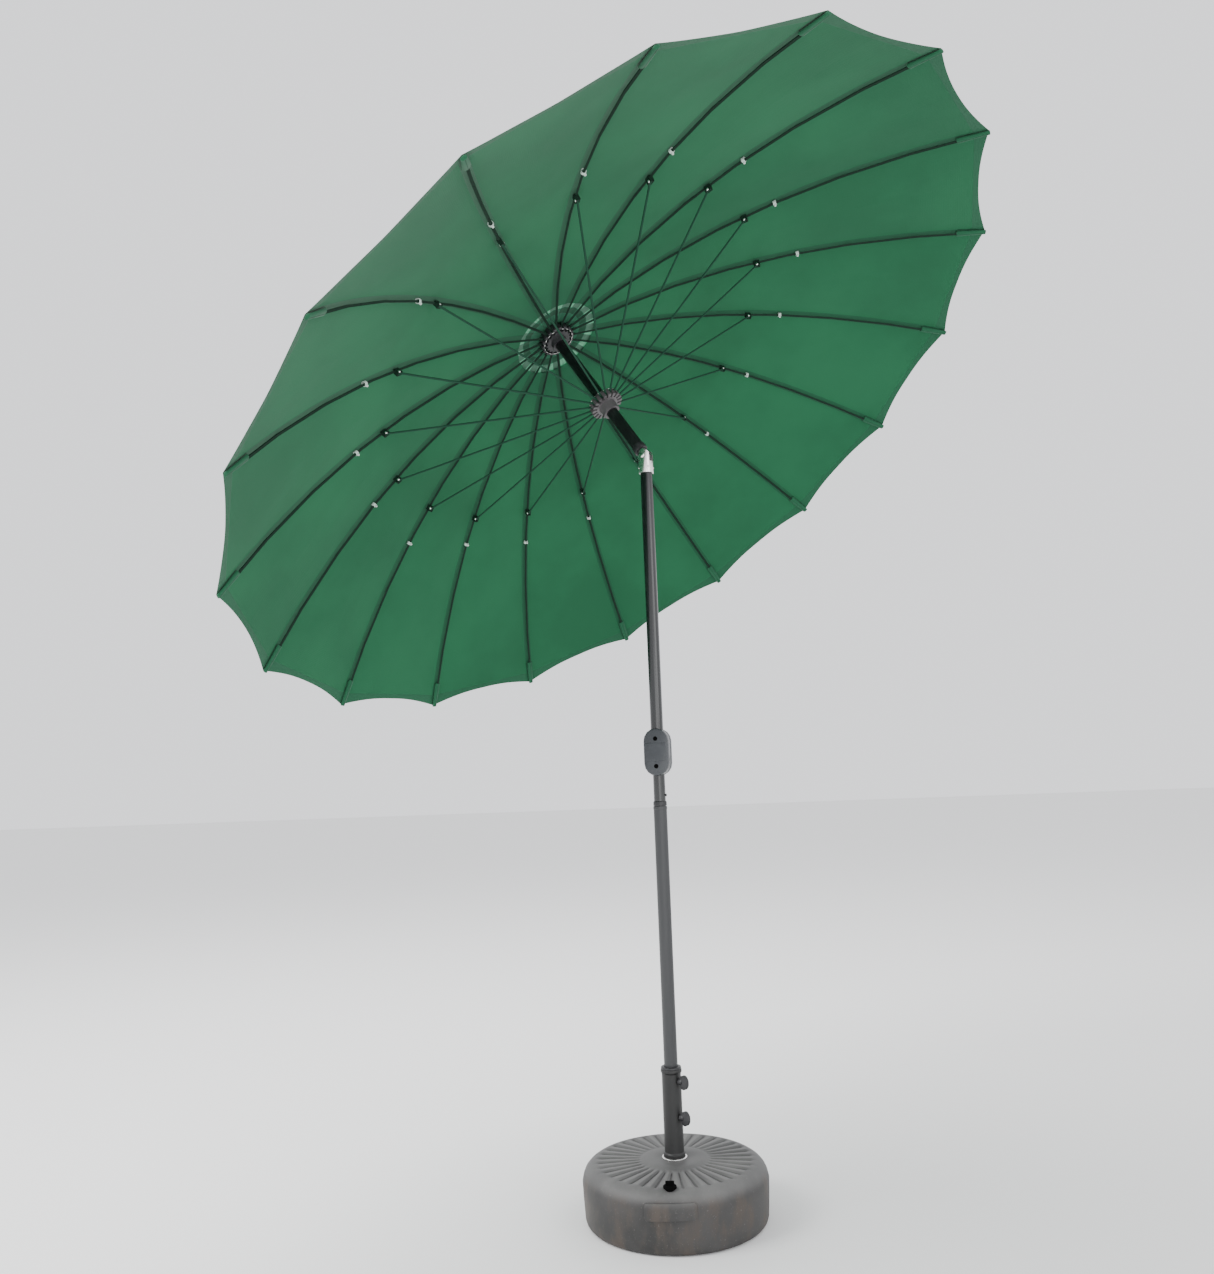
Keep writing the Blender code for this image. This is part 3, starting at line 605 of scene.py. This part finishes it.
@dataclass
class Canopy:
    """Eighteen gores on the ribs, their tip pockets and the vent cap above."""

    dresser: Dresser
    curve: RibCurve = field(default_factory=RibCurve)
    vent: float = 135.0
    rise: float = 9.5
    scallop: float = 0.0150
    sag: float = 5.0
    phase_deg: float = 147.9
    cap: float = 230.0
    cap_rise: float = 9.0
    thickness: float = 0.8
    kept_width: float = 0.984
    gore_flat: tuple[float, float] = (0.45, 1.29)
    cap_flat: tuple[float, float] = (0.47, 0.47)

    def rib_turn(self, index: int) -> Matrix:
        """Turn about the mast from the hub's frame to a rib's."""
        return Matrix.Rotation(math.radians(self.phase_deg + 360.0 / RIBS * index), 4, "Z")

    def stretched(
        self, inner: float, outer: float, height: Callable[[float], float], sag: float, rows: int
    ) -> tuple[bmesh.types.BMesh, float]:
        """Cloth from the middle of one panel, over its rib, to the middle of the next.

        Args:
            inner: radius of the upper edge in millimetres.
            outer: radius of the corner over the rib.
            height: height over the hub at a radius.
            sag: how far the panel's middle hangs under a straight line.
            rows: rows of faces from the upper edge to the hem.

        Returns:
            The cloth in the rib's frame, and its area in square metres.
        """
        half = math.pi / RIBS
        bm = bmesh.new()
        bmesh.ops.create_grid(bm, x_segments=rows, y_segments=16, size=1.0)
        cloth = bm.loops.layers.uv.new("cloth")
        flat: dict[Any, tuple[float, float]] = {}
        for corner in bm.verts:
            down, side = (corner.co.x + 1.0) / 2.0, corner.co.y
            share = abs(side) / 2.0
            end = outer * (1.0 - self.scallop * 4.0 * share * (1.0 - share))
            radius = inner + (end - inner) * down
            rib = Vector((1.0, 0.0))
            turn = 2.0 * half * (1.0 if side >= 0.0 else -1.0)
            beside = Vector((math.cos(turn), math.sin(turn)))
            flat_at = (rib * (1.0 - share) + beside * share) * radius
            hang = sag * math.sin(math.pi * share) * math.sin(math.pi * down) ** 0.8
            ripple = 0.9 * math.sin(down * 31.0 + share * 9.0) * math.sin(math.pi * share) * down
            flat[corner] = (flat_at.y * MM, (outer - radius) * MM * 1.08)
            corner.co = Vector((flat_at.x, flat_at.y, height(radius) - hang + ripple)) * MM
        for face in bm.faces:
            for loop in face.loops:
                loop[cloth].uv = flat[loop.vert]
        if sum(face.normal.z for face in bm.faces) < 0.0:
            bmesh.ops.reverse_faces(bm, faces=bm.faces)
        bm.normal_update()
        area = sum(face.calc_area() for face in bm.faces)
        return bm, area

    def thicken(self, bm: bmesh.types.BMesh) -> None:
        """Gives the cloth its thickness, downwards."""
        bmesh.ops.solidify(bm, geom=bm.faces[:], thickness=self.thickness * MM)
        bmesh.ops.recalc_face_normals(bm, faces=bm.faces)

    def gore(self, index: int, hub: Matrix) -> Any:
        """One gore, which moves with its rib."""
        def height(radius: float) -> float:
            """Height of the cloth over the hub."""
            return self.curve.height(radius) + self.rise

        bm, area = self.stretched(self.vent, self.curve.tip, height, self.sag, 36)
        self.thicken(bm)
        place = hub @ self.rib_turn(index)
        piece = finish_mesh(bm, f"gore_{index:02d}", place, 50.0)
        body = f"rib_{index:02d}"
        nodes = ("canopy",) if index == 0 else ()
        self.dresser.dress(piece, Slot.FABRIC, body, *nodes)
        if index:
            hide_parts("canopy")
        across = (place.to_3x3() @ Vector((0.0, 1.0, 0.0))).normalized()
        anchor = place @ self.curve.point(self.curve.joint)
        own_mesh(piece)
        return piece

    def pocket(self, index: int, hub: Matrix) -> Any:
        """The sewn pocket that holds a rib's tip."""
        start, end = self.curve.tip - 72.0, self.curve.tip - 2.0
        sleeve = rod(self.curve.point(start, 0.8), self.curve.point(end, 1.2), 0.0085, 20, 0.0062)
        middle = self.curve.point((start + end) / 2, 1.0)
        pitch = Matrix.Rotation(self.curve.pitch((start + end) / 2), 4, "Y")
        flatten = Matrix.Translation(middle) @ pitch @ Matrix.Diagonal((1.0, 1.25, 0.72, 1.0))
        flatten = flatten @ pitch.inverted() @ Matrix.Translation(-middle)
        bmesh.ops.transform(sleeve, matrix=flatten, verts=sleeve.verts)
        soften(sleeve, 2.0, 3)
        piece = finish_mesh(sleeve, f"tip_pocket_{index:02d}", hub @ self.rib_turn(index))
        layer = piece.data.uv_layers.new(name="cloth")
        for loop in layer.data:
            loop.uv = (0.05, 0.02)
        return self.dresser.dress(piece, Slot.FABRIC, f"rib_{index:02d}")

    def vent_cap(self, hub: Matrix) -> Any:
        """The small upper canopy over the vent, clamped under the finial."""
        middle, start = 24.6, 7.0
        edge = self.curve.height(self.cap) + self.rise + self.cap_rise

        def height(radius: float) -> float:
            """Height of the cap over the hub."""
            return middle + (edge - middle) * (radius - start) / (self.cap - start)

        shapes, total = [], 0.0
        for index in range(RIBS):
            bm, area = self.stretched(start, self.cap, height, 1.2, 14)
            self.thicken(bm)
            bmesh.ops.transform(bm, matrix=self.rib_turn(index), verts=bm.verts)
            shapes.append(bm)
            total += area
        whole = poured(shapes)
        bmesh.ops.remove_doubles(whole, verts=whole.verts, dist=0.00002)
        piece = finish_mesh(whole, "vent_cap_cloth", hub, 50.0)
        self.dresser.dress(piece, Slot.CAP, "head", "vent_cap")
        return piece

    def build(self, hub: Matrix) -> None:
        """Makes every gore, pocket and the cap."""
        for index in range(RIBS):
            self.gore(index, hub)
            self.pocket(index, hub)
        self.vent_cap(hub)


@dataclass
class Linkage:
    """Ribs, struts, the rivets between them and the ties on the cloth."""

    dresser: Dresser
    canopy: Canopy

    def rivet(self, index: int, hub: Matrix) -> Any:
        """The bright rivet through a rib's clevis, in two heads."""
        curve = self.canopy.curve
        pitch = Matrix.Rotation(curve.pitch(curve.joint), 4, "Y")
        at = Matrix.Translation(curve.point(curve.joint)) @ pitch @ Matrix.Translation((0, 0, -curve.clevis * MM))
        heads = []
        for side in (-1.0, 1.0):
            head = rod(Vector((0, side * 0.0057, 0)), Vector((0, side * 0.0073, 0)), 0.0042, 16, 0.0026)
            heads.append(head)
        both = poured(heads)
        bmesh.ops.recalc_face_normals(both, faces=both.faces)
        piece = finish_mesh(both, f"rib_rivet_{index:02d}", hub @ self.canopy.rib_turn(index) @ at)
        return self.dresser.dress(piece, Slot.STEEL, f"rib_{index:02d}")

    def clip(self, index: int, hub: Matrix) -> Any:
        """The pale tie that holds the cloth to a rib, a little beyond the strut's joint."""
        curve = self.canopy.curve
        radius = 744.0 + 16.0 * math.sin(index * 2.4)
        pitch = Matrix.Rotation(curve.pitch(radius), 4, "Y")
        at = Matrix.Translation(curve.point(radius, 1.0)) @ pitch @ Matrix.Rotation(math.pi / 2, 4, "Y")
        band = spun(rounded([(5.4, 4.5), (7.0, 4.5), (7.0, -4.5), (5.4, -4.5)], 0.6, True), 24, True)
        knot = rod(Vector((0.0055, 0, 0)), Vector((0.0115, 0, 0)), 0.0042, 16, 0.0028)
        soften(knot, 0.8, 2)
        piece = finish_mesh(poured([band, knot]), f"cloth_tie_{index:02d}", hub @ self.canopy.rib_turn(index) @ at)
        return self.dresser.dress(piece, Slot.CLIP, f"rib_{index:02d}")

    def build(self, hub: Matrix) -> None:
        """Dresses the ribs and struts, and adds the rivets and ties."""
        for index in range(RIBS):
            self.dresser.refined(f"rib_{index:02d}", Slot.RIB, f"rib_{index:02d}", 0.0)
            self.dresser.refined(f"strut_{index:02d}", Slot.STRUT, f"strut_{index:02d}", 0.0)
            self.rivet(index, hub)
            self.clip(index, hub)


@dataclass
class Crown:
    """Hub, runner, finial and the wire rings that hold the ribs and struts."""

    dresser: Dresser
    runner_drop: float = 289.0

    def wire(self, name: str, radius: float, place: Matrix, body: str) -> Any:
        """A plain steel wire ring."""
        bm = bmesh.new()
        bmesh.ops.create_circle(bm, segments=10, radius=0.0011, matrix=Matrix.Translation((radius * MM, 0, 0))
                                @ Matrix.Rotation(math.pi / 2, 4, "X"))
        bmesh.ops.spin(bm, geom=bm.verts[:] + bm.edges[:], cent=(0, 0, 0), axis=(0, 0, 1), angle=math.tau,
                       steps=96, use_merge=True)
        bmesh.ops.remove_doubles(bm, verts=bm.verts, dist=0.00001)
        bmesh.ops.recalc_face_normals(bm, faces=bm.faces)
        return self.dresser.dress(finish_mesh(bm, name, place), Slot.STEEL, body)

    def build(self, hub: Matrix) -> None:
        """Makes the crown's pieces."""
        self.dresser.refined("hub", Slot.BLACK, "head", 0.6)
        self.dresser.refined("finial", Slot.BLACK, "head", 0.8)
        self.dresser.refined("runner", Slot.FLANGE, "slider", 0.6)
        down = hub @ Matrix.Translation((0.0, 0.0, -self.runner_drop * MM))
        self.wire("hub_wire", 48.4, hub @ Matrix.Translation((0, 0, -0.0115)), "head")
        self.wire("runner_wire", 47.6, down @ Matrix.Translation((0, 0, 0.0105)), "slider")


@dataclass
class Mast:
    """Lower, mid and upper mast tubes with their seam, and the spring button."""

    dresser: Dresser
    seam: float = 1084.0
    knuckle: float = 2080.0
    housing: float = 1233.0

    def tube(
        self, name: str, profile: Sequence[tuple[float, float]], place: Matrix, slot: Slot, body: str, node: str
    ) -> Any:
        """A painted tube from its rounded wall section."""
        bm = spun(rounded(profile, 1.2, closed=True), 72, closed=True)
        return self.dresser.dress(finish_mesh(bm, name, place), slot, body, node)

    def build(self, frame: Frame) -> None:
        """Makes the tubes and dresses the button."""
        ground = Matrix.Identity(4)
        lower = [(19.2, self.seam), (19.2, self.seam - 8), (18.4, self.seam - 9.5), (18.4, 172), (16.8, 172),
                 (16.8, self.seam)]
        self.tube("lower_mast_tube", lower, ground, Slot.MAST, "lower_mast", "mast_lower")
        top = self.knuckle - 24.3
        mid = [(17.5, top), (17.5, self.housing), (16.5, self.housing - 1), (16.5, 904), (15, 904), (15, top)]
        self.tube("mid_mast_tube", mid, ground, Slot.MID, "mid_mast", "mast_mid")
        upper = [(17.5, 523), (17.5, 29.3), (15, 29.3), (15, 523)]
        place = Matrix.Translation(frame.knuckle) @ frame.head
        self.tube("upper_mast_tube", upper, place, Slot.HEAD, "head", "mast_upper")
        ring = spun(rounded([(16.9, 1098), (18.6, 1096), (18.9, 1085.5), (16.9, 1085.2)], 0.8, True), 64, True)
        self.dresser.dress(finish_mesh(ring, "seam_collar"), Slot.BLACK, "mid_mast")
        self.dresser.refined("snap_button", Slot.BLACK, "button", 0.5)


@dataclass
class Crank:
    """Both halves of the crank housing, their screws and panel lines, and the handle."""

    dresser: Dresser
    middle: float = 1233.0
    yaw_deg: float = -12.0
    depth: float = 30.0

    def place(self) -> Matrix:
        """The housing's frame, with -Y out of its front."""
        return Matrix.Translation((0, 0, self.middle * MM)) @ Matrix.Rotation(math.radians(self.yaw_deg), 4, "Z")

    def screw(self, name: str, x: float, z: float) -> Any:
        """A screw head down in its round well, painted near-black all over as the painted shade of the well."""
        at = Vector((x * MM, -self.depth * MM, z * MM))
        out = Vector((0, -1, 0))
        rim = spun(rounded([(5.4, 0.9), (6.2, 0.2), (6.2, -0.3), (4.2, -0.3), (4.2, 0.9)], 0.25, True), 32, True)
        turn = out.to_track_quat("Z", "Y").to_matrix().to_4x4()
        bmesh.ops.transform(rim, matrix=Matrix.Translation(at) @ turn, verts=rim.verts)
        disc = rod(at - out * 0.0001, at + out * 0.00035, 0.0042, 24)
        cross = []
        for angle in (0.0, math.pi / 2):
            bar = bmesh.new()
            bmesh.ops.create_cube(bar, size=1.0, matrix=Matrix.Translation(at + out * 0.0005)
                                  @ Matrix.Rotation(angle + 0.4, 4, "Y")
                                  @ Matrix.Diagonal((0.0050, 0.0004, 0.0010, 1)))
            cross.append(bar)
        whole = poured([rim, disc, *cross])
        return self.dresser.dress(finish_mesh(whole, name, self.place()), Slot.SHADE_WELL, "mid_mast")

    def panel(self) -> Any:
        """The raised middle panel between the housing's two round ends."""
        bm = bmesh.new()
        bmesh.ops.create_cube(bm, size=1.0, matrix=Matrix.Translation((0, -0.0302, 0.0))
                              @ Matrix.Diagonal((0.056, 0.0022, 0.050, 1)))
        soften(bm, 0.9, 3)
        return self.dresser.dress(finish_mesh(bm, "housing_panel", self.place()), Slot.HOUSING, "mid_mast")

    def build(self) -> None:
        """Makes the crank's pieces."""
        for half in ("housing_front", "housing_back"):
            self.dresser.refined(half, Slot.HOUSING, "mid_mast", 0.6, 50.0)
        self.panel()
        self.screw("housing_screw_upper", 0.0, 37.0)
        self.screw("housing_screw_lower", 0.0, -39.0)
        self.dresser.refined("crank_spool", Slot.STEEL, "crank", 0.3)
        self.dresser.refined("crank_arm", Slot.BLACK, "crank", 0.9)
        self.dresser.refined("crank_grip", Slot.BLACK, "grip", 0.6)


@dataclass
class Knuckle:
    """The stainless clevis, its rivets and the black tongue."""

    dresser: Dresser
    lean_deg: float = 151.25

    def build(self, frame: Frame) -> None:
        """Dresses the knuckle and adds its rivets."""
        self.dresser.refined("knuckle_lower", Slot.STEEL, "mid_mast", 0.7, 50.0)
        self.dresser.refined("knuckle_pin", Slot.STEEL, "mid_mast", 0.4)
        self.dresser.refined("knuckle_upper", Slot.BLACK, "head", 0.8, 50.0)
        upright = Matrix.Translation(frame.knuckle) @ Matrix.Rotation(math.radians(self.lean_deg), 4, "Z")
        for number, angle in enumerate((40.0, 140.0, 220.0, 320.0)):
            out = Vector((math.cos(math.radians(angle)), math.sin(math.radians(angle)), 0.0))
            at = out * 0.0208 + Vector((0, 0, -0.034))
            bm = rod(at, at + out * 0.0017, 0.0034, 20, 0.0021)
            piece = finish_mesh(bm, f"knuckle_rivet_{number}", upright)
            self.dresser.dress(piece, Slot.STEEL, "mid_mast")


@dataclass
class Base:
    """The fluted tank, base tube, insert, knobs and filler."""

    dresser: Dresser
    radius: float = 248.0
    height: float = 152.0
    flutes: int = 36
    flute_depth: float = 5.5
    filler: tuple[float, float] = (-15.0, -208.0)

    def tank(self) -> Any:
        """The tank's shell with its flutes."""
        top = self.height
        coarse = [(26.5, 24.0), (26.5, top + 2.0), (30.0, top + 4.0), (82.0, top + 4.0), (90.0, top + 0.4)]
        ribs = [(90.0 + 4.0 * i, top + 0.4 - 2.0 * i / 29.0) for i in range(1, 30)]
        side = [(214.0, top - 3.6), (224.0, top - 7.0), (233.0, top - 13.0), (240.0, top - 21.0),
                (244.5, top - 31.0), (248.0, top - 46.0), (246.5, 70.0), (244.8, 40.0), (243.0, 16.0),
                (240.5, 8.0), (236.0, 3.0), (228.0, 0.0), (60.0, 0.0)]
        bm = spun([*coarse, *ribs, *side], 288)
        for corner in bm.verts:
            out = math.hypot(corner.co.x, corner.co.y) / MM
            if corner.co.z < (top - 9.0) * MM or out < 93.0:
                continue
            fade = min(1.0, (out - 92.0) / 14.0) * min(1.0, max(0.0, (212.0 - out) / 12.0))
            wave = math.cos(math.atan2(corner.co.y, corner.co.x) * self.flutes)
            corner.co.z -= self.flute_depth * MM * fade * (0.5 - 0.5 * wave) ** 3.0
        bmesh.ops.holes_fill(bm, edges=[e for e in bm.edges if e.is_boundary], sides=0)
        bmesh.ops.recalc_face_normals(bm, faces=bm.faces)
        piece = finish_mesh(bm, "tank_shell", None, 46.0)
        return self.dresser.dress(piece, Slot.TANK, "base", "base_tank")

    def pad(self) -> Any:
        """The smooth moulded pad in front of the filler."""
        bm = bmesh.new()
        bmesh.ops.create_cube(bm, size=1.0)
        bmesh.ops.transform(bm, matrix=Matrix.Diagonal((0.132, 0.012, 0.040, 1.0)), verts=bm.verts)
        bmesh.ops.subdivide_edges(
            bm, edges=[e for e in bm.edges if abs(e.verts[0].co.x - e.verts[1].co.x) > 0.1], cuts=15
        )
        for corner in bm.verts:
            corner.co.y += 2.05 * corner.co.x * corner.co.x
        ends = [e for e in bm.edges if len(e.link_faces) == 2 and all(abs(v.co.x) > 0.065 for v in e.verts)
                and abs(e.verts[0].co.y - e.verts[1].co.y) > 0.01]
        bmesh.ops.bevel(bm, geom=ends, offset=0.011, segments=5, profile=0.5, affect="EDGES", material=-1)
        soften(bm, 1.8, 3)
        place = Matrix.Translation((-0.015, -0.2468, 0.108)) @ Matrix.Rotation(math.radians(-8.0), 4, "X")
        return self.dresser.dress(finish_mesh(bm, "filler_pad", place), Slot.TANK, "base")

    def build(self) -> None:
        """Makes the base's pieces."""
        self.tank()
        self.pad()
        # The filler cap takes the near-black painted shade of a shadowed well.
        self.dresser.refined("filler_cap", Slot.SHADE_WELL, "filler", 0.6)
        foot = spun(rounded([(29.6, 158.6), (33.5, 157.6), (33.8, 156.2), (29.6, 156.2)], 0.5, True), 72, True)
        self.dresser.dress(finish_mesh(foot, "post_washer"), Slot.STEEL, "base")
        tube = [(26, 372), (26, 170), (29, 167), (29, 156.5), (26, 156.3), (26, 20.3), (24, 20.3), (24, 384),
                (27.5, 384), (28.5, 381), (28.5, 376)]
        bm = spun(rounded(tube, 1.4, closed=True), 72, closed=True)
        self.dresser.dress(finish_mesh(bm, "base_post"), Slot.POST, "base", "base_tube")
        self.dresser.refined("tube_insert", Slot.BLACK, "base", 0.5)
        self.dresser.refined("clamp_knob_upper", Slot.BLACK, "knob_upper", 1.0)
        self.dresser.refined("clamp_knob_lower", Slot.BLACK, "knob_lower", 1.0)


@dataclass
class Studio:
    """Pale floor, soft lights and the camera."""

    place: Vector = field(default_factory=lambda: Vector((0.0, -3.108, 1.194)))
    yaw: float = -0.0419
    pitch: float = 0.1177
    roll: float = -0.0366
    lens: float = 31.29

    def camera(self) -> None:
        """Stands the camera in front of the umbrella, looking a little up."""
        forward = Vector((
            math.sin(self.yaw) * math.cos(self.pitch), math.cos(self.yaw) * math.cos(self.pitch), math.sin(self.pitch)
        ))
        level = Vector((math.cos(self.yaw), -math.sin(self.yaw), 0.0))
        above = level.cross(forward)
        right = level * math.cos(self.roll) + above * math.sin(self.roll)
        up = above * math.cos(self.roll) - level * math.sin(self.roll)
        made = bpy.data.objects.new("camera", bpy.data.cameras.new("camera"))
        made.data.lens = self.lens
        made.data.sensor_width = 36.0
        made.data.clip_end = 100.0
        made.matrix_world = Matrix.Translation(self.place) @ Matrix((right, up, -forward)).transposed().to_4x4()
        bpy.context.scene.collection.objects.link(made)
        bpy.context.scene.camera = made

    def light(self, name: str, at: Sequence[float], aim: Sequence[float], size: float, power: float) -> None:
        """A square soft light."""
        lamp = bpy.data.lights.new(name, "AREA")
        lamp.shape = "SQUARE"
        lamp.size = size
        lamp.energy = power
        made = bpy.data.objects.new(name, lamp)
        turn = (Vector(aim) - Vector(at)).to_track_quat("-Z", "Y").to_matrix().to_4x4()
        made.matrix_world = Matrix.Translation(at) @ turn
        bpy.context.scene.collection.objects.link(made)

    def floor(self) -> None:
        """A wide plain floor."""
        bm = bmesh.new()
        bmesh.ops.create_grid(bm, x_segments=1, y_segments=1, size=30.0)
        piece = finish_mesh(bm, "studio_floor", Matrix.Translation((0, 0, -0.0005)))
        web = Web("studio_floor")
        web.set(Base_Color=(0.86, 0.86, 0.85), Roughness=0.9)
        piece.data.materials.append(web.material)

    def build(self) -> None:
        """Sets up the studio."""
        self.floor()
        self.light("key", (-4.5, -2.0, 5.2), (-0.2, 0.1, 1.9), 3.0, 330.0)
        self.light("fill", (4.0, -4.5, 2.6), (0.0, 0.0, 1.4), 3.5, 90.0)
        self.light("under", (0.5, -3.6, 0.8), (-0.2, 0.2, 2.2), 2.2, 30.0)
        self.light("sky", (-1.5, 2.5, 6.5), (-0.3, 0.2, 2.2), 4.0, 260.0)
        world = bpy.data.worlds.new("studio")
        world.use_nodes = True
        world.node_tree.nodes["Background"].inputs["Color"].default_value = (0.96, 0.97, 1.0, 1.0)
        world.node_tree.nodes["Background"].inputs["Strength"].default_value = 1.45
        bpy.context.scene.world = world
        self.camera()


def main() -> None:
    """Builds the umbrella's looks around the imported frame."""
    logging.basicConfig(level=logging.INFO, format="%(name)s: %(message)s")
    frame = Frame.load()
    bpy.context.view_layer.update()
    dresser = Dresser(frame)
    hub = frame.at_hub()
    canopy = Canopy(dresser)
    canopy.build(hub)
    Linkage(dresser, canopy).build(hub)
    Crown(dresser).build(hub)
    Mast(dresser).build(frame)
    Crank(dresser).build()
    Knuckle(dresser).build(frame)
    Base(dresser).build()
    frame.nodes["base_ballast"].data.materials.clear()
    frame.nodes["base_ballast"].data.materials.append(dresser.finishes[Slot.TANK])
    Studio().build()


if __name__ == "__main__":
    main()
